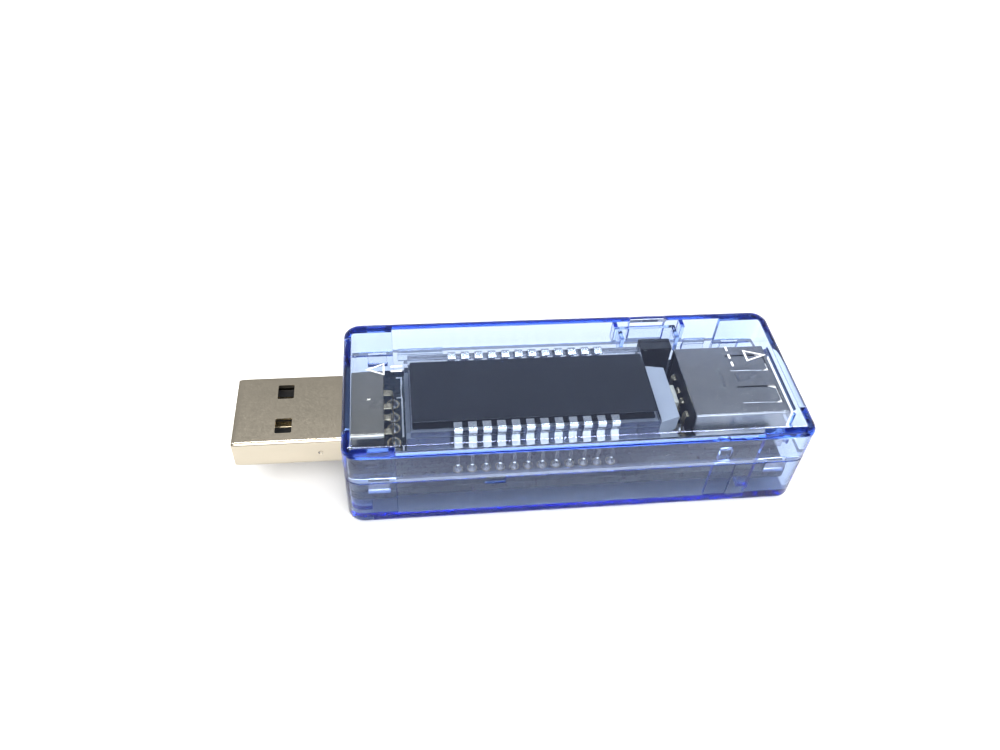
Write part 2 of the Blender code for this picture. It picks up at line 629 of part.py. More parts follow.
def make_board(material, parts, cutters):
    board = box("circuit_board", (along(1.3 * MM), along(60.1 * MM)),
                (-BOARD_WIDTH / 2, BOARD_WIDTH / 2), (BOARD_BOTTOM, BOARD_TOP), material, parts,
                upright_edge=0.6 * MM, upright_steps=2)
    boolean(board, many_boxes("lead_holes", lead_holes(), cutters), "DIFFERENCE")


def make_board_components(black, grey, tan, parts):
    """Components on the underside of the board."""
    top = BOARD_BOTTOM - FIT_GAP
    box("meter_chip", (along(18.0 * MM), along(28.0 * MM)), (-3.2 * MM, 3.2 * MM),
        (top - 1.6 * MM, top), black, parts, edge=0.15 * MM)
    box("shunt_resistor", (along(50.2 * MM), along(53.4 * MM)), (-3.2 * MM, 3.2 * MM),
        (top - 0.7 * MM, top), grey, parts, edge=0.08 * MM)
    box("voltage_regulator", (along(33.0 * MM), along(37.5 * MM)), (-1.3 * MM, 1.3 * MM),
        (top - 1.5 * MM, top), black, parts, edge=0.12 * MM)
    box("filter_capacitor", (along(10.6 * MM), along(13.8 * MM)), (-0.8 * MM, 0.8 * MM),
        (top - 1.3 * MM, top), tan, parts, edge=0.08 * MM)


# ---------------------------------------------------------------- assembly
def main():
    clear_scene()
    parts = new_collection("usb_power_meter")
    cutters = new_collection("cutters")
    blue = make_material("case_blue", (0.30, 0.48, 0.95), 0.15, alpha=0.45)
    print_white = make_material("print_white", (0.92, 0.94, 0.97), 0.5)
    black = make_material("black_plastic", (0.03, 0.035, 0.04), 0.45)
    steel = make_material("nickel_plate", (0.62, 0.60, 0.57), 0.28, 1.0)
    gold = make_material("contact_gold", (0.80, 0.62, 0.30), 0.3, 1.0)
    tin = make_material("tin_plate", (0.80, 0.80, 0.82), 0.3, 1.0)
    board_green = make_material("solder_mask", (0.02, 0.06, 0.06), 0.35)
    glass = make_material("display_glass", (0.70, 0.76, 0.80), 0.05, alpha=0.5)
    film = make_material("polariser_film", (0.07, 0.08, 0.11), 0.15)
    resin = make_material("seal_resin", (0.10, 0.12, 0.14), 0.3)
    guide = make_material("guide_white", (0.80, 0.86, 0.94), 0.4)
    lamp = make_material("lamp_white", (0.90, 0.88, 0.78), 0.4)
    chip = make_material("chip_black", (0.03, 0.03, 0.03), 0.5)
    ceramic = make_material("resistor_grey", (0.25, 0.26, 0.28), 0.4)
    tan = make_material("capacitor_tan", (0.45, 0.32, 0.20), 0.4)

    make_bottom_cover(blue, parts, cutters)
    make_top_cover(blue, parts, cutters)
    make_arrow("input_arrow", along(3.1 * MM), along(5.6 * MM), 2.55 * MM, print_white, parts)
    make_arrow("output_arrow", along(59.1 * MM), along(56.0 * MM), 2.4 * MM, print_white, parts)
    make_reset_button(blue, parts, cutters)
    make_tact_switch(black, tin, parts, cutters)
    make_plug(steel, black, gold, parts, cutters)
    make_socket(steel, black, gold, parts, cutters)
    make_display(glass, film, resin, guide, lamp, parts)
    make_display_pins(tin, parts)
    make_board(board_green, parts, cutters)
    make_board_components(chip, ceramic, tan, parts)


main()
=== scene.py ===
"""Looks of the USB power meter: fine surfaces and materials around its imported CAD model.

Shapes are worked out in millimetres in the row frame, with X along the case and the plug at -X,
Z up and the origin at the middle of the footprint.  They are scaled to metres as they are made.
"""

import math

import bmesh
import bpy
from mathutils import Matrix, Vector


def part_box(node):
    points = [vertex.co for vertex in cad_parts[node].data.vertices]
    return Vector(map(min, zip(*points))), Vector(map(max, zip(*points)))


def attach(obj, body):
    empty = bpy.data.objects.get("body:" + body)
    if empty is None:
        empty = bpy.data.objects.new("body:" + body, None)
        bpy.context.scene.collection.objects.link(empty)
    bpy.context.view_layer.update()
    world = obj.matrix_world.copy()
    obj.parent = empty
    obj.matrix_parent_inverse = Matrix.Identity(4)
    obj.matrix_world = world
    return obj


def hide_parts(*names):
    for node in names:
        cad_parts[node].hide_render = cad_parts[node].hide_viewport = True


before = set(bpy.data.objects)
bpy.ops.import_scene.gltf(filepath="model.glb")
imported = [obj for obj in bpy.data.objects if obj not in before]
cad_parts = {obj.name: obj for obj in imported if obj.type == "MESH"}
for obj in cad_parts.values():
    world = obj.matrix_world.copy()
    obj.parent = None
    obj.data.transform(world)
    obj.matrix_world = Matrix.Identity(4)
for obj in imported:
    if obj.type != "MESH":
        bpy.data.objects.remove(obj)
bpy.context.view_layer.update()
MM = 0.001
BODY = "meter"


def span(node):
    """Lowest and highest corner of a CAD node, in millimetres."""
    low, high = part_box(node)
    return low / MM, high / MM


def along(distance):
    """X of a point given its distance from the plug end of the case."""
    return CASE_LEFT + distance


# ---------------------------------------------------------------- layout, in millimetres
# Starts and spans along the case are distances from its plug end, for along() to turn into X.
CASE_LOW = span("bottom_cover")[0]
CASE_HIGH = span("top_cover")[1]
CASE_LEFT, CASE_RIGHT = CASE_LOW.x, CASE_HIGH.x
CASE_LENGTH = CASE_RIGHT - CASE_LEFT
HALF_WIDTH = CASE_HIGH.y
CASE_TOP = CASE_HIGH.z
TONGUE_RISE = 0.8               # the bottom cover's tongues reach this far above the seam
SEAM = span("bottom_cover")[1].z - TONGUE_RISE
SEAM_GAP = 0.05
WALL = 1.15
PLATE = 1.1
CORNER = 2.3
TOP_EDGE = (1.7, 0.95)          # how far the rounding reaches inwards and downwards
BOTTOM_EDGE = 0.8
INNER_FILLET = 0.2
SEAM_LIP = 0.15
CEILING = CASE_TOP - PLATE
INNER_HALF = HALF_WIDTH - WALL

INTO_ROOF = CEILING + 0.3       # ribs end inside the top plate, so that they join it
INTO_FLOOR = PLATE - 0.5
RIB_EDGE, FINE_EDGE = 0.12, 0.08
RIB_OUTER = 11.6                # ribs reach this far out, into the side walls
TOP_RIB_SPAN, TOP_RIB_HIGH = (49.3, 51.0), 11.0
BOTTOM_RIB_SPAN = (49.0, 52.2)
ARM_GUIDE_STARTS, ARM_GUIDE_WIDTH = (38.8, 48.7), 0.6
ARM_GUIDE_INNER, ARM_GUIDE_LOW = 9.3, 10.2
BLOCK_SPANS = ((1.0, 6.7), (54.9, CASE_LENGTH - 1.0))
BLOCK_INNER, BLOCK_OUTER = 10.35, 11.55
PEG_STARTS, PEG_LENGTH = (3.1, CASE_LENGTH - 5.8), 2.7
PEG_INNER, PEG_OUTER = 10.8, 11.5
TONGUE_SPANS = ((7.4, 14.0), (50.2, 53.6))
POST_STARTS, POST_LENGTH = (1.8, 54.2), 1.5
POST_INNER, POST_OUTER = 8.4, 9.8
PRISING_SLOT = (18.1, 20.8)
BUTTON_SPAN, BUTTON_GAP = (41.5, 46.5), 0.25
BUTTON_PLATE_Y, BUTTON_PLATE_TOP = (10.35, 10.95), 12.2
ARM_STARTS, ARM_WIDTH = (39.61, 47.79), 0.6

BOARD_LOW, BOARD_HIGH = span("circuit_board")
BOARD_TOP, BOARD_BOTTOM = BOARD_HIGH.z, BOARD_LOW.z
LEAD_END = span("lcd_pin_front_01")[0].z

SHEET = 0.3                     # thickness of the plug's and the socket's metal
PLUG_LOW, PLUG_HIGH = span("plug_shell")
PLUG_BOTTOM = BOARD_TOP + 0.05
PLUG_DECK = PLUG_BOTTOM + 2.25
PLUG_LEADS = along(6.5)
PLUG_TABS = (2.6, 1.6)          # start and length of the tabs that fix the shell to the board
PLUG_WINDOW_FROM_TIP, PLUG_WINDOW_ACROSS = (5.45, 7.6), (1.78, 4.28)
SOCKET_LOW, SOCKET_HIGH = span("socket_shell")
SOCKET_BOTTOM = BOARD_TOP + 0.25
SOCKET_LEADS = SOCKET_LOW.x - 0.35
SOCKET_TABS = (49.7, 2.0)
SOCKET_WINDOW_SPAN, SOCKET_WINDOW_ACROSS = (54.3, 60.0), (1.4, 4.7)
FINGER_WIDTH, FINGER_KNEES, FINGER_TAPER_START = 2.95, (57.0, 58.6, 59.8), 59.0
CONTACT_OFFSETS = (-3.5, -1.0, 1.0, 3.5)
CONTACT_WIDTH, CONTACT_SHEET = 1.0, 0.2

REAR_GLASS_LOW, REAR_GLASS_HIGH = span("lcd_rear_glass")
FRONT_GLASS_HIGH = span("lcd_front_glass")[1]
LIGHT_GUIDE_LEDGE = 0.85        # how far the light guide shows at the left of the dark film
LIGHT_GUIDE_SHOULDER = 42.4
PIN_COUNT = 12
CLIP_WIDTH, LEG_WIDTH, CLIP_SHEET = 1.15, 0.42, 0.22


# ---------------------------------------------------------------- mesh helpers
def loft(work, rings, closed=False):
    """Skin successive rings of points; cap both ends, or join the last ring to the first."""
    layers = [[work.verts.new(point) for point in ring] for ring in rings]
    count = len(rings[0])
    following = layers[1:] + (layers[:1] if closed else [])
    for near, far in zip(layers, following):
        for i in range(count):
            j = (i + 1) % count
            work.faces.new((near[i], near[j], far[j], far[i]))
    if not closed:
        work.faces.new(layers[0][::-1])
        work.faces.new(layers[-1])


def rounded_outline(low, high, radius, steps=10):
    """Points round a rectangle from low to high, anticlockwise, with round corners."""
    points = []
    for turn in range(4):
        centre_a = high[0] - radius if turn in (0, 3) else low[0] + radius
        centre_b = high[1] - radius if turn in (0, 1) else low[1] + radius
        for step in range(steps + 1):
            angle = math.radians(90 * (turn + step / steps))
            points.append((centre_a + radius * math.cos(angle),
                           centre_b + radius * math.sin(angle)))
    return points


def rim(edge, steps=8):
    """(inset, depth below the flat face) of a rounded rim, from the wall to the flat face."""
    if not edge:
        return [(0.0, 0.0)]
    reach, drop = edge if isinstance(edge, tuple) else (edge, edge)
    angles = [math.pi / 2 * step / steps for step in range(steps + 1)]
    return [(reach * (1 - math.cos(angle)), drop * (1 - math.sin(angle))) for angle in angles]


def slab_rings(low, high, corner, bottom=0.0, top=0.0, steps=10):
    """Rings of a slab, bottom to top, with round upright corners and rounded rims."""
    levels = [(inset, low[2] + depth) for inset, depth in reversed(rim(bottom))]
    levels += [(inset, high[2] - depth) for inset, depth in rim(top)]
    rings = []
    for inset, z in levels:
        outline = rounded_outline((low[0] + inset, low[1] + inset),
                                  (high[0] - inset, high[1] - inset),
                                  max(corner - inset, 0.03), steps)
        rings.append([(x, y, z) for x, y in outline])
    return rings


def as_mesh(work):
    """The mesh of a bmesh, welded and with its faces pointing out."""
    bmesh.ops.remove_doubles(work, verts=work.verts, dist=1e-4)
    bmesh.ops.recalc_face_normals(work, faces=work.faces)
    mesh = bpy.data.meshes.new("shape")
    work.to_mesh(mesh)
    work.free()
    return mesh


def skinned(rings, closed=False):
    """One mesh skinned over successive rings of points."""
    work = bmesh.new()
    loft(work, rings, closed)
    return as_mesh(work)


def slab(low, high, corner, bottom, top, steps=4):
    """A slab with round upright corners and softened rims at its bottom and top."""
    return skinned(slab_rings(low, high, corner, bottom, top, steps))


def add_block(work, low, high, edge=0.0, segments=2):
    """Add a box to a bmesh, with its edges rounded."""
    verts = bmesh.ops.create_cube(work, size=1.0)["verts"]
    bmesh.ops.scale(work, vec=[b - a for a, b in zip(low, high)], verts=verts)
    bmesh.ops.translate(work, vec=[(a + b) / 2 for a, b in zip(low, high)], verts=verts)
    if edge:
        edges = list({e for vert in verts for e in vert.link_edges})
        bmesh.ops.bevel(work, geom=edges, offset=edge, segments=segments, profile=0.5,
                        affect="EDGES")


def blocks(spans, edge=0.0):
    """One mesh of separate boxes, each given as its lowest and highest corner."""
    work = bmesh.new()
    for low, high in spans:
        add_block(work, low, high, edge)
    return as_mesh(work)


def prism(outline, low, high, edge, segments=2):
    """A flat outline in XY stood up from low to high, with its edges rounded."""
    work = bmesh.new()
    loft(work, [[(x, y, z) for x, y in outline] for z in (low, high)])
    bmesh.ops.recalc_face_normals(work, faces=work.faces)
    if edge:
        bmesh.ops.bevel(work, geom=list(work.edges), offset=edge, segments=segments,
                        profile=0.5, affect="EDGES")
    return as_mesh(work)


def combined(base, operand, operation):
    """The boolean of two meshes in millimetres, as a new mesh."""
    holder = bpy.data.objects.new("base", base)
    tool = bpy.data.objects.new("operand", operand)
    for thing in (holder, tool):
        bpy.context.scene.collection.objects.link(thing)
    step = holder.modifiers.new("step", "BOOLEAN")
    step.operation = operation
    step.solver = "EXACT"
    step.object = tool
    graph = bpy.context.evaluated_depsgraph_get()
    result = bpy.data.meshes.new_from_object(holder.evaluated_get(graph))
    for thing in (holder, tool):
        bpy.data.objects.remove(thing)
    return result


def bent_path(points, radius, steps=4):
    """The path through the points with each corner turned into a bend."""
    points = [Vector(point) for point in points]
    path = [points[0]]
    for before, corner, after in zip(points, points[1:], points[2:]):
        reach = min(radius, (before - corner).length * 0.5, (after - corner).length * 0.5)
        start = corner + (before - corner).normalized() * reach
        end = corner + (after - corner).normalized() * reach
        for step in range(steps + 1):
            t = step / steps
            path.append(start * (1 - t) ** 2 + corner * 2 * t * (1 - t) + end * t ** 2)
    path.append(points[-1])
    return path


def sweep_strip(work, path, widths, thickness, place):
    """Sweep a flat strip with softened edges along a path; place turns (a, b, across) to XYZ."""
    half = thickness / 2
    rings = []
    for index, point in enumerate(path):
        before = path[max(index - 1, 0)]
        after = path[min(index + 1, len(path) - 1)]
        ahead = (after - before).normalized()
        width = widths[index] / 2
        soft = thickness * 0.25
        section = ((width - soft, half), (width, half - soft), (width, soft - half),
                   (width - soft, -half), (soft - width, -half), (-width, soft - half),
                   (-width, half - soft), (soft - width, half))
        rings.append([place(point.x - ahead.y * out, point.y + ahead.x * out, across)
                      for across, out in section])
    loft(work, rings)


def sheet_tube(stations, half_width, low, high, radius):
    """A tube of sheet along X: rings at stations of (x, inset), closed from last to first."""
    rings = []
    for x, inset in stations:
        outline = rounded_outline((-half_width + inset, low + inset),
                                  (half_width - inset, high - inset), radius - inset, 8)
        rings.append([(x, y, z) for y, z in outline])
    return skinned(rings, closed=True)


def add_joined(work, mesh):
    """Add a mesh's faces to a bmesh."""
    work.from_mesh(mesh)
    bpy.data.meshes.remove(mesh)


def piece(name, mesh, material, replaces=(), body=BODY, sharp=32):
    """Make a mesh in millimetres into a piece of the model that rides on a CAD body."""
    mesh.name = name
    mesh.transform(Matrix.Scale(MM, 4))
    mesh.materials.clear()
    mesh.materials.append(material)
    mesh.shade_smooth()
    mesh.set_sharp_from_angle(angle=math.radians(sharp))
    made = bpy.data.objects.new(name, mesh)
    bpy.context.scene.collection.objects.link(made)
    step = made.modifiers.new("flat_faces", "WEIGHTED_NORMAL")
    step.keep_sharp = True
    step.weight = 80
    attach(made, body)
    if replaces:
        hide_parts(*replaces)
    return made


# ---------------------------------------------------------------- materials
CASE_ABSORBED = (0.23, 0.155, 0.034)    # how fast red, green and blue fade, per millimetre
GLASS_ABSORBED = (0.13, 0.12, 0.09)
CASE_GLOSS = (0.40, 0.46, 0.78)         # bluish reflections, so that the walls don't look grey
CLEAR_IOR = 1.52


def node(tree, kind, **inputs):
    """Add a shader node and set or link its inputs by name."""
    made = tree.nodes.new("ShaderNode" + kind)
    for name, value in inputs.items():
        socket = made.inputs[name.replace("_", " ")]
        if isinstance(value, bpy.types.NodeSocket):
            tree.links.new(value, socket)
        else:
            socket.default_value = value
    return made


def new_material(name, roughness, metallic=0.0, ior=1.5):
    """A material with its node tree and its main shader."""
    material = bpy.data.materials.new(name)
    material.use_nodes = True
    shader = material.node_tree.nodes["Principled BSDF"]
    shader.inputs["Roughness"].default_value = roughness
    shader.inputs["Metallic"].default_value = metallic
    shader.inputs["IOR"].default_value = ior
    return material, material.node_tree, shader


def millimetres(tree, stretch=(1.0, 1.0, 1.0)):
    """Object coordinates in millimetres, stretched along each axis."""
    place = node(tree, "TexCoord")
    scaled = node(tree, "Mapping", Vector=place.outputs["Object"])
    scaled.inputs["Scale"].default_value = [share / MM for share in stretch]
    return scaled.outputs[0]


def noise(tree, where, scale, detail=3.0):
    made = node(tree, "TexNoise", Vector=where, Scale=scale, Detail=detail, Roughness=0.55)
    return made.outputs[0]


def blend_colours(tree, share, first, second, low=0.35, high=0.65):
    """A colour that goes from first to second as share goes from low to high."""
    ramp = node(tree, "ValToRGB", Fac=share)
    ramp.color_ramp.elements[0].position = low
    ramp.color_ramp.elements[1].position = high
    ramp.color_ramp.elements[0].color = (*first, 1)
    ramp.color_ramp.elements[1].color = (*second, 1)
    return ramp.outputs[0]


def spread(tree, share, low, high):
    """A number that goes from low to high with the noise."""
    made = node(tree, "MapRange", Value=share)
    made.inputs["From Min"].default_value = 0.3
    made.inputs["From Max"].default_value = 0.7
    made.inputs["To Min"].default_value = low
    made.inputs["To Max"].default_value = high
    return made.outputs[0]


def bump(tree, shader, height, depth):
    """Raise the surface by a height map; depth is in millimetres."""
    made = node(tree, "Bump", Height=height, Distance=depth * MM, Strength=1.0)
    tree.links.new(made.outputs[0], shader.inputs["Normal"])


def surfaced(name, first, second, roughness, grain, depth, metallic=0.0, blotch=0.6,
             stretch=(1.0, 1.0, 1.0)):
    """A material whose colour, roughness and fine relief vary with noise.

    Blotch and grain are how many patches and bumps there are to a millimetre.
    """
    material, tree, shader = new_material(name, roughness[0], metallic)
    where = millimetres(tree, stretch)
    patches = noise(tree, where, blotch)
    tree.links.new(blend_colours(tree, patches, first, second), shader.inputs["Base Color"])
    fine = noise(tree, where, grain, detail=4.0)
    tree.links.new(spread(tree, fine, *roughness), shader.inputs["Roughness"])
    bump(tree, shader, fine, depth)
    return material


def clear_solid(name, absorbed, roughness, waviness, gloss=(1, 1, 1)):
    """See-through plastic or glass; absorbed is (red, green, blue) per millimetre."""
    material, tree, shader = new_material(name, roughness, ior=CLEAR_IOR)
    shader.inputs["Base Color"].default_value = (1, 1, 1, 1)
    shader.inputs["Transmission Weight"].default_value = 1.0
    shader.inputs["Specular Tint"].default_value = (*gloss, 1)
    strongest = max(absorbed)
    inside = node(tree, "VolumeAbsorption", Density=strongest / MM)
    inside.inputs["Color"].default_value = (*[1 - part / strongest for part in absorbed], 1)
    output = tree.nodes["Material Output"]
    tree.links.new(inside.outputs[0], output.inputs["Volume"])
    bump(tree, shader, noise(tree, millimetres(tree), 0.6, detail=2.0), waviness)
    return material


def case_blue():
    return clear_solid("case_blue", CASE_ABSORBED, 0.015, 0.004, CASE_GLOSS)


def button_blue():
    return clear_solid("button_blue", CASE_ABSORBED, 0.05, 0.006, CASE_GLOSS)


def display_glass():
    return clear_solid("display_glass", GLASS_ABSORBED, 0.0, 0.0005)


def nickel():
    return surfaced("nickel_plate", (0.495, 0.445, 0.360), (0.465, 0.420, 0.340), (0.12, 0.22),
                    9.0, 0.0015, metallic=1.0, blotch=0.25, stretch=(0.5, 1.0, 1.0))


def socket_nickel():
    return surfaced("socket_nickel", (0.56, 0.54, 0.52), (0.50, 0.48, 0.46), (0.16, 0.26),
                    8.0, 0.0015, metallic=1.0, blotch=0.3, stretch=(0.5, 1.0, 1.0))


def gold():
    return surfaced("contact_gold", (0.62, 0.53, 0.36), (0.50, 0.44, 0.30), (0.20, 0.34),
                    9.0, 0.001, metallic=1.0)


def tin():
    return surfaced("tin_plate", (0.90, 0.90, 0.90), (0.76, 0.77, 0.78), (0.10, 0.22),
                    6.0, 0.004, metallic=1.0, blotch=1.5)


def solder():
    return surfaced("solder_metal", (0.80, 0.79, 0.78), (0.58, 0.58, 0.60), (0.20, 0.42),
                    3.0, 0.010, metallic=1.0, blotch=1.8)


def black_plastic():
    return surfaced("black_plastic", (0.020, 0.022, 0.025), (0.032, 0.034, 0.038), (0.38, 0.55),
                    7.0, 0.005)


def chip_epoxy():
    return surfaced("chip_epoxy", (0.016, 0.016, 0.018), (0.03, 0.03, 0.032), (0.5, 0.7),
                    9.0, 0.008)


def polariser():
    return surfaced("polariser_film", (0.031, 0.033, 0.037), (0.035, 0.037, 0.042), (0.10, 0.16),
                    2.5, 0.0001, blotch=0.12)


def guide_white():
    return surfaced("guide_white", (0.60, 0.63, 0.67), (0.56, 0.59, 0.64), (0.30, 0.42),
                    3.0, 0.004, blotch=0.3)


def lamp_white():
    return surfaced("lamp_white", (0.88, 0.86, 0.74), (0.84, 0.80, 0.62), (0.3, 0.45), 3.0, 0.004)


def print_white():
    return surfaced("print_white", (0.94, 0.95, 0.97), (0.84, 0.87, 0.92), (0.45, 0.65),
                    6.0, 0.006, blotch=2.5)


def resistor_grey():
    return surfaced("resistor_grey", (0.22, 0.23, 0.25), (0.28, 0.29, 0.31), (0.4, 0.6), 5.0, 0.006)


def capacitor_tan():
    return surfaced("capacitor_tan", (0.42, 0.29, 0.18), (0.36, 0.25, 0.16), (0.4, 0.6), 5.0, 0.006)


def seal_resin():
    return surfaced("seal_resin", (0.045, 0.055, 0.065), (0.075, 0.085, 0.10), (0.10, 0.22),
                    1.5, 0.010)


def board_mask():
    """Dark solder mask over woven glass, with lighter copper areas under it."""
    material, tree, shader = new_material("solder_mask", 0.3)
    where = millimetres(tree)
    copper = node(tree, "TexBrick", Vector=where, Scale=0.35)
    copper.inputs["Color1"].default_value = (0.018, 0.026, 0.030, 1)
    copper.inputs["Color2"].default_value = (0.024, 0.034, 0.038, 1)
    copper.inputs["Mortar"].default_value = (0.011, 0.014, 0.017, 1)
    copper.inputs["Mortar Size"].default_value = 0.035
    tree.links.new(copper.outputs["Color"], shader.inputs["Base Color"])
    weave = noise(tree, where, 2.2, detail=2.0)
    tree.links.new(spread(tree, weave, 0.24, 0.40), shader.inputs["Roughness"])
    bump(tree, shader, weave, 0.006)
    return material


# ---------------------------------------------------------------- case
def corner_blocks(low, high):
    """Spans of the four blocks that stand along the side walls in the case's corners."""
    spans = []
    for side in (-1, 1):
        inner, outer = sorted((side * BLOCK_INNER, side * BLOCK_OUTER))
        for first, last in BLOCK_SPANS:
            spans.append(((along(first), inner, low), (along(last), outer, high)))
    return spans


def pegs(grow, low, high):
    """Flat pegs of the top cover, or with a positive grow the slots that take them."""
    spans = []
    for side in (-1, 1):
        inner, outer = sorted((side * (PEG_INNER - grow), side * (PEG_OUTER + grow)))
        for first in PEG_STARTS:
            spans.append(((along(first - grow), inner, low),
                          (along(first + PEG_LENGTH + grow), outer, high)))
    return spans


def plug_opening(work, clearance=0.1):
    """Cutter for the plug's opening in the left end wall."""
    half = PLUG_HIGH.y + clearance
    outline = rounded_outline((-half, PLUG_BOTTOM - clearance), (half, PLUG_HIGH.z + clearance),
                              0.5, 5)
    loft(work, [[(x, y, z) for y, z in outline] for x in (CASE_LEFT - 1, CASE_LEFT + 2)])


def socket_opening(work, flare=0.35):
    """Cutter for the socket's opening in the right end wall, widening outwards."""
    rings = []
    for x, grow in ((CASE_RIGHT - 2, 0.0), (CASE_RIGHT - flare, 0.0), (CASE_RIGHT + 0.3, flare)):
        half = SOCKET_HIGH.y - SHEET + grow
        outline = rounded_outline((-half, SOCKET_BOTTOM + SHEET - grow),
                                  (half, SOCKET_HIGH.z - SHEET + grow), 0.45, 5)
        rings.append([(x, y, z) for y, z in outline])
    loft(work, rings)


def end_openings():
    work = bmesh.new()
    plug_opening(work)
    socket_opening(work)
    return as_mesh(work)


def make_top_cover(glass):
    """The upper shell, with its ribs, pegs, openings and the notch for the button."""
    outer = slab_rings((CASE_LEFT, -HALF_WIDTH, SEAM), (CASE_RIGHT, HALF_WIDTH, CASE_TOP),
                       CORNER, bottom=SEAM_LIP, top=TOP_EDGE)
    inner = slab_rings((CASE_LEFT + WALL, -INNER_HALF, SEAM),
                       (CASE_RIGHT - WALL, INNER_HALF, CEILING),
                       CORNER - WALL, top=INNER_FILLET)
    mesh = skinned(inner[::-1] + outer)
    ribs = corner_blocks(SEAM + SEAM_GAP, INTO_ROOF)
    first, last = TOP_RIB_SPAN
    ribs.append(((along(first), -RIB_OUTER, SEAM + 0.2), (along(last), -10.4, TOP_RIB_HIGH)))
    for first in ARM_GUIDE_STARTS:
        ribs.append(((along(first), ARM_GUIDE_INNER, ARM_GUIDE_LOW),
                     (along(first + ARM_GUIDE_WIDTH), RIB_OUTER, INTO_ROOF)))
    mesh = combined(mesh, blocks(ribs, RIB_EDGE), "UNION")
    mesh = combined(mesh, blocks(pegs(0.0, SEAM - 2.1, SEAM + 1), FINE_EDGE), "UNION")
    mesh = combined(mesh, end_openings(), "DIFFERENCE")
    first, last = BUTTON_SPAN
    notch = ((along(first - BUTTON_GAP), 10.6, span("reset_button")[0].z - 0.15),
             (along(last + BUTTON_GAP), HALF_WIDTH + 1, CASE_TOP + 1))
    mesh = combined(mesh, blocks([notch]), "DIFFERENCE")
    return piece("clear_top_cover", mesh, glass, ["top_cover"])


def make_bottom_cover(glass):
    """The lower shell, with its ribs, tongues, board posts, peg slots and openings."""
    top = SEAM - SEAM_GAP
    outer = slab_rings((CASE_LEFT, -HALF_WIDTH, 0.0), (CASE_RIGHT, HALF_WIDTH, top), CORNER,
                       bottom=BOTTOM_EDGE, top=SEAM_LIP)
    inner = slab_rings((CASE_LEFT + WALL, -INNER_HALF, PLATE), (CASE_RIGHT - WALL, INNER_HALF, top),
                       CORNER - WALL, bottom=INNER_FILLET)
    mesh = skinned(outer + inner[::-1])
    ribs = corner_blocks(INTO_FLOOR, top - SEAM_GAP)
    first, last = BOTTOM_RIB_SPAN
    ribs.append(((along(first), -RIB_OUTER, INTO_FLOOR), (along(last), -10.45, top - 0.2)))
    tongues = []
    for first, last in TONGUE_SPANS:
        ribs.append(((along(first), 10.45, SEAM - 1.4), (along(last), 11.5, SEAM - 0.35)))
        tongues.append(((along(first + 0.03), 10.49, SEAM - 1.0),
                        (along(last - 0.03), 10.9, SEAM + TONGUE_RISE)))
    posts = []
    for first in POST_STARTS:
        for side in (-1, 1):
            near, far = sorted((side * POST_INNER, side * POST_OUTER))
            posts.append(((along(first), near, PLATE - 0.4),
                          (along(first + POST_LENGTH), far, BOARD_BOTTOM - 0.05)))
    mesh = combined(mesh, blocks(ribs, RIB_EDGE), "UNION")
    mesh = combined(mesh, blocks(tongues, FINE_EDGE), "UNION")
    mesh = combined(mesh, blocks(posts, 0.1), "UNION")
    mesh = combined(mesh, blocks(pegs(0.1, SEAM - 2.4, SEAM + 1)), "DIFFERENCE")
    mesh = combined(mesh, end_openings(), "DIFFERENCE")
    first, last = PRISING_SLOT
    slot = ((along(first), -HALF_WIDTH - 1, SEAM - 1.3), (along(last), -HALF_WIDTH + 0.35, SEAM + 1))
    mesh = combined(mesh, blocks([slot], 0.1), "DIFFERENCE")
    return piece("clear_bottom_cover", mesh, glass, ["bottom_cover"])


def button_cap(bottom, high, inner_y=11.15, steps=8):
    """The pressed block, whose outer top edge continues the rounding of the case."""
    reach, drop = TOP_EDGE
    outline = [(inner_y, bottom), (high.y, bottom)]
    end_angle = math.acos(1 - (high.y - inner_y) / reach)
    for step in range(steps + 1):
        angle = end_angle * step / steps
        outline.append((high.y - reach * (1 - math.cos(angle)),
                        high.z - drop * (1 - math.sin(angle))))
    return skinned([[(along(distance), y, z) for y, z in outline] for distance in BUTTON_SPAN])


def make_button(glass):
    """The push cap with its plate and guide arms."""
    low, high = span("reset_button")
    floor = low.z + 0.05
    inner_y, outer_y = BUTTON_PLATE_Y
    plate = ((low.x, inner_y, floor), (high.x, outer_y, BUTTON_PLATE_TOP))
    arms = [((along(first), low.y, floor + 0.01),
             (along(first + ARM_WIDTH), 10.6, BUTTON_PLATE_TOP - 0.01)) for first in ARM_STARTS]
    first, last = BUTTON_SPAN
    foot = ((along(first), 10.7, floor + 0.1), (along(last), 11.8, BUTTON_PLATE_TOP - 0.2))
    mesh = combined(blocks([plate], 0.1), blocks(arms, 0.1), "UNION")
    mesh = combined(mesh, blocks([foot], 0.05), "UNION")
    mesh = combined(mesh, button_cap(low.z, high), "UNION")
    return piece("push_button", mesh, glass, ["reset_button"], body="reset_button")


def make_print(white):
    """Raised printing on the top plate: the two CAD triangles and plain bars beside them."""
    for name in ("input_arrow", "output_arrow"):
        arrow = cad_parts[name]
        arrow.data.materials.clear()
        arrow.data.materials.append(white)
    low = CASE_TOP + 0.01
    high = low + 0.06
    bars = bmesh.new()
    for name, first, last, half, offsets in (("input_arrow", 6.4, 8.0, 0.14, (0.42, -0.42)),
                                             ("output_arrow", 53.6, 53.9, 0.45, (1.5, 0.0, -1.5))):
        middle = sum(corner.y for corner in span(name)) / 2
        for offset in offsets:
            y = middle + offset
            loft(bars, slab_rings((along(first), y - half, low), (along(last), y + half, high),
                                  0.13, 0.0, 0.03, 3))
    piece("printed_bars", as_mesh(bars), white)


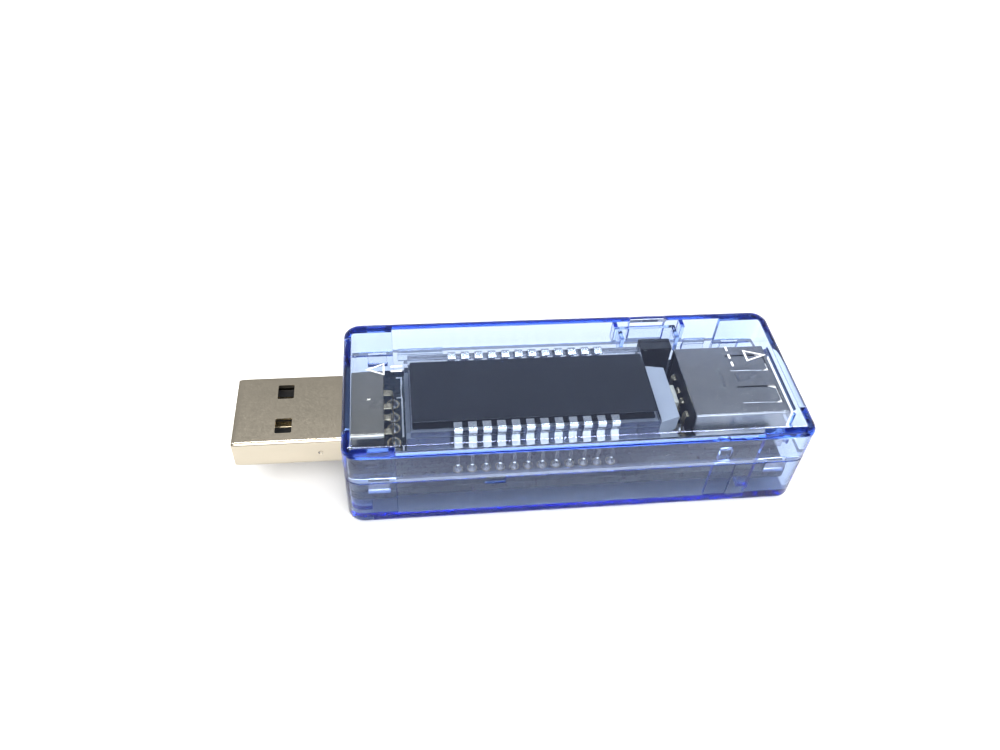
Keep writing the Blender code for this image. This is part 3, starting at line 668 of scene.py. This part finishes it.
# ---------------------------------------------------------------- switch
def make_switch(black, metal):
    """The right-angle switch: case with its bore and cover line, stem, rivets and legs."""
    low, high = span("switch_body")
    stem_low, stem_high = span("switch_plunger")
    bore = ((stem_low.x - 0.1, high.y - 1.3, stem_low.z - 0.1),
            (stem_high.x + 0.1, high.y + 1, stem_high.z + 0.1))
    cover_line = ((low.x - 1, high.y - 0.75, high.z - 0.06), (high.x + 1, high.y - 0.67, high.z + 1))
    mesh = combined(slab(low, high, 0.2, 0.1, 0.12, 3), blocks([bore]), "DIFFERENCE")
    mesh = combined(mesh, blocks([cover_line]), "DIFFERENCE")
    piece("switch_case", mesh, black, ["switch_body"])

    plunger = slab(stem_low, stem_high, 0.25, 0.12, 0.12)
    piece("switch_stem", plunger, black, ["switch_plunger"], body="switch_plunger")

    rivets = bmesh.new()
    for x in (low.x + 0.75, high.x - 0.75):
        add_block(rivets, (x - 0.28, low.y - 0.03, high.z - 0.42),
                  (x + 0.28, low.y + 0.1, high.z - 0.3), 0.03)
    piece("switch_rivets", as_mesh(rivets), metal)
    for side in ("left", "right"):
        low, high = span("switch_terminal_" + side)
        mesh = slab(low, high, 0.1, 0.08, 0.02)
        piece("switch_leg_" + side, mesh, metal, ["switch_terminal_" + side])


# ---------------------------------------------------------------- plug and socket
def shell_tabs(place, half_width):
    """Spans of the two tabs that fix a metal shell to the board; place is (start, length)."""
    start, length = along(place[0]), place[1]
    spans = []
    for side in (-1, 1):
        near, far = sorted((side * (half_width - 0.28), side * (half_width - 0.02)))
        spans.append(((start, near, LEAD_END), (start + length, far, BOARD_TOP + 1.4)))
    return spans


def dimple(x, y, z, radius, depth, side):
    """Cutter for a shallow round dent; side is the direction that its opening faces."""
    work = bmesh.new()
    reach = (radius ** 2 + depth ** 2) / (2 * depth)
    bmesh.ops.create_uvsphere(work, u_segments=48, v_segments=32, radius=reach)
    offset = Vector(side) * (reach - depth)
    bmesh.ops.translate(work, vec=Vector((x, y, z)) + offset, verts=work.verts)
    return as_mesh(work)


def make_contact(name, corners, y, material, replaces):
    """A gold-plated strip bent in a plane of constant Y."""
    path = bent_path(corners, 0.45)
    work = bmesh.new()
    sweep_strip(work, path, [CONTACT_WIDTH] * len(path), CONTACT_SHEET,
                lambda a, b, across: (a, y + across, b))
    piece(name, as_mesh(work), material, replaces)


def contact_channels(start, end, low, high):
    """Spans of the four grooves that the contacts lie in."""
    return [((start, y - 0.6, low), (end, y + 0.6, high)) for y in CONTACT_OFFSETS]


def make_plug(metal, black, gold_metal):
    """The plug's folded shell with windows, seam and dents, its holder and four contacts."""
    tip, end = PLUG_LOW.x, PLUG_HIGH.x
    half = PLUG_HIGH.y
    stations = [(end, 0.04), (end - 0.04, 0.0), (tip + 0.9, 0.0), (tip + 0.45, 0.03),
                (tip + 0.16, 0.08), (tip + 0.04, 0.13), (tip, 0.19), (tip, 0.24),
                (tip + 0.05, SHEET), (end, SHEET)]
    mesh = sheet_tube(stations, half, PLUG_BOTTOM, PLUG_HIGH.z, 0.5)
    windows = bmesh.new()
    first, last = (tip + distance for distance in PLUG_WINDOW_FROM_TIP)
    for side in (-1, 1):
        near, far = sorted(side * across for across in PLUG_WINDOW_ACROSS)
        for level in (PLUG_BOTTOM, PLUG_HIGH.z):
            loft(windows, slab_rings((first, near, level - 0.6), (last, far, level + 0.6),
                                     0.18, 0.0, 0.0, 4))
    seam = blocks([((tip + 0.5, 0.4, PLUG_BOTTOM - 1), (end - 0.5, 0.46, PLUG_BOTTOM + 0.08))])
    side_dent = dimple(tip + 11.3, -half, PLUG_BOTTOM + 2.2, 0.33, 0.14, (0, -1, 0))
    top_dent = dimple(along(3.3), 0.3, PLUG_HIGH.z, 0.5, 0.07, (0, 0, 1))
    for cutter in (as_mesh(windows), seam, side_dent, top_dent):
        mesh = combined(mesh, cutter, "DIFFERENCE")
    mesh = combined(mesh, blocks(shell_tabs(PLUG_TABS, half), 0.04), "UNION")
    piece("plug_sleeve", mesh, metal, ["plug_shell"])

    floor, inside = PLUG_BOTTOM + SHEET + 0.13, half - SHEET - 0.13
    roof = PLUG_HIGH.z - SHEET - 0.03
    holder = slab((tip + 0.7, -inside, floor), (end - 0.1, inside, PLUG_DECK), 0.3, 0.1, 0.12)
    rear_block = slab((CASE_LEFT - 3.0, -inside + 0.4, PLUG_DECK - 0.6),
                      (end - 0.12, inside - 0.4, roof), 0.2, 0.0, 0.15)
    mesh = combined(holder, rear_block, "UNION")
    channels = contact_channels(tip, end + 1, PLUG_DECK - 0.12, PLUG_DECK + 0.32)
    mesh = combined(mesh, blocks(channels), "DIFFERENCE")
    piece("plug_holder", mesh, black, ["plug_insulator"])

    level = PLUG_DECK + 0.13
    for number, y in enumerate(CONTACT_OFFSETS, start=1):
        front = span("plug_contact_%d" % number)[0].x
        corners = [(front, level - 0.2), (front + 0.4, level), (PLUG_LEADS, level),
                   (PLUG_LEADS, LEAD_END)]
        make_contact("plug_finger_%d" % number, corners, y, gold_metal,
                     ["plug_contact_%d" % number])


def make_socket(metal, black, gold_metal):
    """The socket's folded shell with its sprung fingers, its tongue and four contacts."""
    start, end = SOCKET_LOW.x, SOCKET_HIGH.x
    half = SOCKET_HIGH.y
    stations = [(start, 0.05), (start + 0.05, 0.0), (end - 0.08, 0.0), (end, 0.08), (end, 0.22),
                (end - 0.08, SHEET), (start, SHEET)]
    mesh = sheet_tube(stations, half, SOCKET_BOTTOM, SOCKET_HIGH.z, 0.32)
    root, mouth = (along(distance) for distance in SOCKET_WINDOW_SPAN)
    windows = []
    for side in (-1, 1):
        near, far = sorted(side * across for across in SOCKET_WINDOW_ACROSS)
        for level in (SOCKET_BOTTOM, SOCKET_HIGH.z):
            windows.append(((root, near, level - 0.5), (mouth, far, level + 0.5)))
    mesh = combined(mesh, blocks(windows), "DIFFERENCE")
    mesh = combined(mesh, blocks(shell_tabs(SOCKET_TABS, half), 0.04), "UNION")
    work = bmesh.new()
    add_joined(work, mesh)
    finger_middle = sum(SOCKET_WINDOW_ACROSS) / 2
    knees = [along(distance) for distance in FINGER_KNEES]
    taper_start = along(FINGER_TAPER_START)
    for middle in (-finger_middle, finger_middle):
        for level, inward in ((SOCKET_HIGH.z - SHEET / 2, -1), (SOCKET_BOTTOM + SHEET / 2, 1)):
            heights = (level, level + inward * 0.12, level + inward * 0.05)
            path = bent_path([(root - 0.1, level), *zip(knees, heights)], 1.2, 6)
            widths = [FINGER_WIDTH - max(0.0, point.x - taper_start) for point in path]
            sweep_strip(work, path, widths, SHEET - 0.01,
                        lambda a, b, across, y=middle: (a, y + across, b))
    piece("socket_sleeve", as_mesh(work), metal, ["socket_shell"])

    low, high = span("socket_insulator")
    tongue_bottom = SOCKET_BOTTOM + 3.05
    holder = slab(low, (start + 3.4, high.y, high.z), 0.15, 0.08, 0.08)
    tongue = slab((start + 3.0, -5.5, tongue_bottom), (high.x, 5.5, tongue_bottom + 1.85),
                  0.35, 0.2, 0.2)
    mesh = combined(holder, tongue, "UNION")
    channels = contact_channels(start - 1, end, tongue_bottom - 0.34, tongue_bottom + 0.12)
    mesh = combined(mesh, blocks(channels), "DIFFERENCE")
    piece("socket_tongue", mesh, black, ["socket_insulator"])

    level = tongue_bottom - 0.12
    for number, y in enumerate(CONTACT_OFFSETS, start=1):
        corners = [(end - 1.6, level + 0.1), (end - 2.4, level), (SOCKET_LEADS, level),
                   (SOCKET_LEADS, LEAD_END)]
        make_contact("socket_finger_%d" % number, corners, y, gold_metal,
                     ["socket_contact_%d" % number])


# ---------------------------------------------------------------- display
def seal_rings(low, high, stations=8, sides=11):
    """Rings along Y of half a lens of resin, whose flat side lies against the glass at high.x."""
    middle, half = (low.y + high.y) / 2, (high.y - low.y) / 2
    rings = []
    for station in range(stations + 1):
        share = -1 + 2 * station / stations
        swell = max(math.sqrt(1 - share * share), 0.12)
        section = []
        for turn in range(sides + 1):
            angle = math.radians(-90 + 180 * turn / sides)
            section.append((high.x - (high.x - low.x) * swell * math.cos(angle),
                            middle + half * share,
                            (low.z + high.z) / 2 + (high.z - low.z) / 2 * swell * math.sin(angle)))
        rings.append(section)
    return rings


def make_display(glass, film, resin, white, lamp):
    """The two glasses with their films, the seal of the filling port, the guide and its lamp."""
    for part in ("rear", "front"):
        low, high = span("lcd_%s_glass" % part)
        piece("display_%s_glass" % part, slab(low, high, 0.12, 0.07, 0.07), glass,
              ["lcd_%s_glass" % part])
    for part in ("front", "rear"):
        low, high = span("lcd_%s_polariser" % part)
        piece("display_%s_film" % part, slab(low, high, 0.25, 0.02, 0.04), film,
              ["lcd_%s_polariser" % part])
    piece("display_fill_seal", skinned(seal_rings(*span("lcd_fill_seal"))), resin,
          ["lcd_fill_seal"])

    low, high = span("backlight_guide")
    start, shoulder = low.x - LIGHT_GUIDE_LEDGE, along(LIGHT_GUIDE_SHOULDER)
    outline = [(start, low.y), (shoulder, low.y), (high.x, low.y + 1.0), (high.x, high.y - 0.6),
               (shoulder, high.y), (start, high.y)]
    piece("light_guide", prism(outline, low.z, high.z, 0.15), white,
          ["backlight_guide"])
    low, high = span("backlight_lamp")
    piece("light_source", slab(low, high, 0.12, 0.05, 0.1), lamp, ["backlight_lamp"])


def make_clips(metal):
    """The sprung clips on the display's edges, each with a narrow leg down to the board."""
    top = FRONT_GLASS_HIGH.z + 0.03 + CLIP_SHEET / 2
    under = REAR_GLASS_LOW.z - 0.03 - CLIP_SHEET / 2
    shoulder = REAR_GLASS_LOW.z - 0.7
    waist = (top + under) / 2 - 0.2
    for row, side, crest in (("front", -1, top + 0.05), ("back", 1, top + 0.2)):
        edge = abs(REAR_GLASS_LOW.y if side < 0 else REAR_GLASS_HIGH.y)
        outer = edge + 0.32 - CLIP_SHEET / 2
        jaw = edge - 1.28
        main = bent_path([(jaw, top), (outer - 0.12, crest), (outer - 0.12, waist + 0.7),
                          (outer - 0.42, waist), (outer, under), (outer, LEAD_END)], 0.45)
        narrowing = [Vector((outer, shoulder + 0.15)), Vector((outer, shoulder - 0.25))]
        main = main[:-1] + narrowing + main[-1:]
        widths = [CLIP_WIDTH if point.y > shoulder else LEG_WIDTH for point in main]
        lower = bent_path([(outer, under + 0.1), (outer - 0.05, under), (jaw + 0.3, under)], 0.1)
        for number in range(1, PIN_COUNT + 1):
            node_name = "lcd_pin_%s_%02d" % (row, number)
            low, high = span(node_name)
            x = (low.x + high.x) / 2
            work = bmesh.new()
            for path, path_widths in ((main, widths), (lower, [CLIP_WIDTH] * len(lower))):
                sweep_strip(work, path, path_widths, CLIP_SHEET,
                            lambda a, b, across, x=x, side=side: (x + across, side * a, b))
            piece("clip_%s_%02d" % (row, number), as_mesh(work), metal, [node_name])


# ---------------------------------------------------------------- circuit board
def circle(x, y, radius, sides):
    angles = [2 * math.pi * turn / sides for turn in range(sides)]
    return [(x + radius * math.cos(angle), y + radius * math.sin(angle)) for angle in angles]


def add_solder(work, x, y, level, height, radius, neck, steps=5):
    """A solder fillet that climbs a lead; a negative height hangs under the board."""
    rings = []
    for step in range(steps + 1):
        share = step / steps
        reach = neck + (radius - neck) * (1 - share) ** 2.2
        rings.append([(a, b, level + height * share) for a, b in circle(x, y, reach, 14)])
    loft(work, rings)


def lead_places():
    """(x, y, radius) of every soldered lead."""
    places = []
    for number in range(1, PIN_COUNT + 1):
        for row, side in (("front", -1), ("back", 1)):
            low, high = span("lcd_pin_%s_%02d" % (row, number))
            leg = (low.y if side < 0 else high.y) - side * CLIP_SHEET / 2
            places.append(((low.x + high.x) / 2, leg, 0.55))
    for y in CONTACT_OFFSETS:
        places.append((PLUG_LEADS, y, 0.8))
        places.append((SOCKET_LEADS, y, 0.8))
    for side in ("left", "right"):
        low, high = span("switch_terminal_" + side)
        places.append(((low.x + high.x) / 2, (low.y + high.y) / 2, 0.6))
    return places


def make_solder(metal):
    """Fillets round every lead, above the board and under it."""
    hanging = LEAD_END - BOARD_BOTTOM + 0.02
    above, below = bmesh.new(), bmesh.new()
    for x, y, radius in lead_places():
        add_solder(above, x, y, BOARD_TOP - 0.02, 0.95, radius, 0.24)
        add_solder(below, x, y, BOARD_BOTTOM + 0.02, hanging, radius + 0.1, 0.3)
    piece("solder_above_board", as_mesh(above), metal, sharp=60)
    piece("solder_below_board", as_mesh(below), metal, sharp=60)


def make_board(mask, white, copper):
    """The CAD board in solder mask, with printed marks, raised traces and solder pads."""
    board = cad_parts["circuit_board"]
    board.data.materials.clear()
    board.data.materials.append(mask)

    low, high = BOARD_TOP + 0.005, BOARD_TOP + 0.035
    bracket = [((along(7.65), -2.6, low), (along(7.9), 8.8, high)),
               ((along(7.0), 8.55, low), (along(7.62), 8.79, high)),
               ((along(7.0), 4.6, low), (along(7.62), 4.8, high))]
    piece("board_marks", blocks(bracket), white)

    traces = []
    for side, nearest in ((-1, -8.7), (1, 8.1)):
        for lane in range(3):
            y = nearest + side * 0.5 * lane
            traces.append(((along(9 + 1.5 * lane), y - 0.1, low - 0.004),
                           (along(45 - 2 * lane), y + 0.1, high - 0.01)))
    piece("board_traces", blocks(traces), mask)

    pads = bmesh.new()
    faces = ((BOARD_TOP + 0.002, BOARD_TOP + 0.03), (BOARD_BOTTOM - 0.03, BOARD_BOTTOM - 0.002))
    for x, y, radius in lead_places():
        ring = circle(x, y, radius + 0.14, 20)
        for levels in faces:
            loft(pads, [[(a, b, z) for a, b in ring] for z in levels])
    piece("board_pads", as_mesh(pads), copper)


def chip_leg_strips(low, high, count=10, inset=0.4, width=0.4, thickness=0.14):
    """The chip's two rows of legs, bent up to the underside of the board."""
    waist, foot = (low.z + high.z) / 2, BOARD_BOTTOM - thickness / 2
    path = bent_path([(high.y - 0.1, waist), (high.y + 0.5, waist), (high.y + 0.75, foot),
                      (high.y + 1.4, foot)], 0.2)
    pitch = (high.x - low.x - 2 * inset) / (count - 1)
    work = bmesh.new()
    for side in (-1, 1):
        for leg in range(count):
            x = low.x + inset + pitch * leg
            sweep_strip(work, path, [width] * len(path), thickness,
                        lambda a, b, across, x=x, side=side: (x + across, side * a, b))
    return as_mesh(work)


def end_caps():
    """The metal ends of the small components, a little proud of their bodies."""
    work = bmesh.new()
    for name, reach in (("filter_capacitor", 0.45), ("voltage_regulator", 0.3)):
        low, high = span(name)
        for start, end in ((low.x - 0.04, low.x + reach), (high.x - reach, high.x + 0.04)):
            add_block(work, (start, low.y - 0.03, low.z - 0.03),
                      (end, high.y + 0.03, high.z + 0.02), 0.08)
    low, high = span("shunt_resistor")
    for start, end in ((low.y - 0.04, low.y + 0.8), (high.y - 0.8, high.y + 0.04)):
        add_block(work, (low.x - 0.03, start, low.z - 0.03),
                  (high.x + 0.03, end, high.z + 0.02), 0.08)
    return as_mesh(work)


def make_components(epoxy, grey, tan, metal):
    """Components under the board, with their legs and end caps."""
    low, high = span("meter_chip")
    pin_one_dent = dimple(low.x + 1.1, high.y - 1.0, low.z, 0.4, 0.1, (0, 0, -1))
    mesh = combined(slab(low, high, 0.25, 0.15, 0.05), pin_one_dent, "DIFFERENCE")
    piece("chip_case", mesh, epoxy, ["meter_chip"])
    piece("chip_legs", chip_leg_strips(low, high), metal)
    for name, node_name, softening, material, slot in (
            ("regulator_case", "voltage_regulator", (0.2, 0.12, 0.05), epoxy, "chip_black"),
            ("shunt_body", "shunt_resistor", (0.12, 0.08, 0.08), grey, "resistor_grey"),
            ("capacitor_body", "filter_capacitor", (0.12, 0.1, 0.1), tan, "capacitor_tan")):
        piece(name, slab(*span(node_name), *softening), material, [node_name])
    piece("component_end_caps", end_caps(), metal)


# ---------------------------------------------------------------- studio
FLOOR_SIZE, FLOOR_DROP = 40.0, 0.08 * MM
# (place, brightness) of the dome from the front (0) over the top (0.5) to the back (1)
SKY_STOPS = ((0.0, 0.20), (0.2, 0.50), (0.5, 0.50), (0.8, 0.46), (0.88, 0.54), (1.0, 0.35))
PATCH_ELEVATION, PATCH_CORE, PATCH_EDGE = (math.radians(value) for value in (50, 12, 40))
PATCH_BRIGHTNESS = 4.6
HORIZON_HEIGHT, HORIZON_BRIGHTNESS = 0.22, 0.60
STRIP_PLACE, STRIP_SIZE, STRIP_POWER = (0.0, 0.25, 0.54), (0.9, 0.045), 4.3
STRIP_COLOUR = (1.0, 0.99, 0.97)
CAMERA_PLACE = (-0.01580, -0.07785, 0.09688)
CAMERA_HEADING, CAMERA_ELEVATION, CAMERA_ROLL = (math.radians(value)
                                                 for value in (9.42, 46.07, 4.48))
CAMERA_LENS, SENSOR_WIDTH = 30.56, 36.0
LIGHT_TURNS = 48                # light piped along the case walls turns many times inside them


def make_floor():
    """A plain pale table a hair under the case."""
    bpy.ops.mesh.primitive_plane_add(size=FLOOR_SIZE, location=(0, 0, -FLOOR_DROP))
    floor = bpy.context.object
    floor.name = "studio_floor"
    material, tree, shader = new_material("studio_floor", 0.7)
    where = node(tree, "TexCoord").outputs["Object"]
    tone = blend_colours(tree, noise(tree, where, 6.0), (0.90, 0.895, 0.885), (0.92, 0.915, 0.91))
    tree.links.new(tone, shader.inputs["Base Color"])
    shader.inputs["Specular IOR Level"].default_value = 0.2
    floor.data.materials.append(material)


def make_sky():
    """A soft dome with a broad bright patch high in front and a paler band at the horizon."""
    world = bpy.data.worlds.new("studio")
    bpy.context.scene.world = world
    world.use_nodes = True
    tree = world.node_tree
    direction = node(tree, "TexCoord").outputs["Generated"]
    parts = node(tree, "SeparateXYZ", Vector=direction)
    reach = node(tree, "MapRange", Value=parts.outputs["Y"])
    reach.inputs["From Min"].default_value = -1.0
    ramp = node(tree, "ValToRGB", Fac=reach.outputs["Result"])
    elements = ramp.color_ramp.elements
    elements.remove(elements[1])
    elements[0].color = (*[SKY_STOPS[0][1]] * 3, 1)
    for position, grey in SKY_STOPS[1:]:
        elements.new(position).color = (grey, grey, grey, 1)
    toward_patch = node(tree, "VectorMath")
    toward_patch.operation = "DOT_PRODUCT"
    tree.links.new(direction, toward_patch.inputs[0])
    patch_middle = (0.0, -math.cos(PATCH_ELEVATION), math.sin(PATCH_ELEVATION))
    toward_patch.inputs[1].default_value = patch_middle
    patch = node(tree, "MapRange", Value=toward_patch.outputs["Value"])
    patch.interpolation_type = "SMOOTHSTEP"
    patch.inputs["From Min"].default_value = math.cos(PATCH_EDGE)
    patch.inputs["From Max"].default_value = math.cos(PATCH_CORE)
    patch.inputs["To Max"].default_value = PATCH_BRIGHTNESS
    horizon = node(tree, "MapRange", Value=parts.outputs["Z"])
    horizon.interpolation_type = "SMOOTHSTEP"
    horizon.inputs["From Max"].default_value = HORIZON_HEIGHT
    horizon.inputs["To Min"].default_value = HORIZON_BRIGHTNESS
    horizon.inputs["To Max"].default_value = 0.0
    total = ramp.outputs["Color"]
    for extra in (patch, horizon):
        step = node(tree, "Math")
        step.operation = "ADD"
        tree.links.new(total, step.inputs[0])
        tree.links.new(extra.outputs["Result"], step.inputs[1])
        total = step.outputs["Value"]
    tree.links.new(total, tree.nodes["Background"].inputs["Strength"])
    tree.nodes["Background"].inputs["Color"].default_value = (1, 1, 1, 1)


def make_strip_light():
    """A long thin softbox behind the object, which draws white lines along its edges."""
    light = bpy.data.lights.new("back_softbox", "AREA")
    light.shape = "RECTANGLE"
    light.size, light.size_y = STRIP_SIZE
    light.energy = STRIP_POWER
    light.color = STRIP_COLOUR
    lamp = bpy.data.objects.new("back_softbox", light)
    lamp.location = STRIP_PLACE
    toward_object = Vector((0, 0, 0)) - Vector(STRIP_PLACE)
    lamp.rotation_euler = toward_object.to_track_quat("-Z", "Y").to_euler()
    bpy.context.scene.collection.objects.link(lamp)


def make_camera():
    """A camera in front of the case and above it, a little nearer to its plug end."""
    camera = bpy.data.objects.new("camera", bpy.data.cameras.new("camera"))
    camera.data.lens = CAMERA_LENS
    camera.data.sensor_width = SENSOR_WIDTH
    camera.data.clip_start = 0.005
    camera.matrix_world = (Matrix.Translation(CAMERA_PLACE)
                           @ Matrix.Rotation(-CAMERA_HEADING, 4, "Z")
                           @ Matrix.Rotation(math.pi / 2 - CAMERA_ELEVATION, 4, "X")
                           @ Matrix.Rotation(CAMERA_ROLL, 4, "Z"))
    bpy.context.scene.collection.objects.link(camera)
    bpy.context.scene.camera = camera


# ---------------------------------------------------------------- assembly
def main():
    glass, black, epoxy, white = case_blue(), black_plastic(), chip_epoxy(), print_white()
    gold_metal, clip_tin = gold(), tin()
    make_bottom_cover(glass)
    make_top_cover(glass)
    make_button(button_blue())
    make_print(white)
    make_switch(black, clip_tin)
    make_plug(nickel(), black, gold_metal)
    make_socket(socket_nickel(), black, gold_metal)
    make_display(display_glass(), polariser(), seal_resin(), guide_white(), lamp_white())
    make_clips(clip_tin)
    make_board(board_mask(), white, gold_metal)
    make_solder(solder())
    make_components(epoxy, resistor_grey(), capacitor_tan(), clip_tin)
    make_floor()
    make_sky()
    make_strip_light()
    make_camera()
    scene = bpy.context.scene
    scene.view_settings.view_transform = "Standard"
    scene.cycles.max_bounces = LIGHT_TURNS
    scene.cycles.transmission_bounces = LIGHT_TURNS
    scene.cycles.glossy_bounces = LIGHT_TURNS


main()
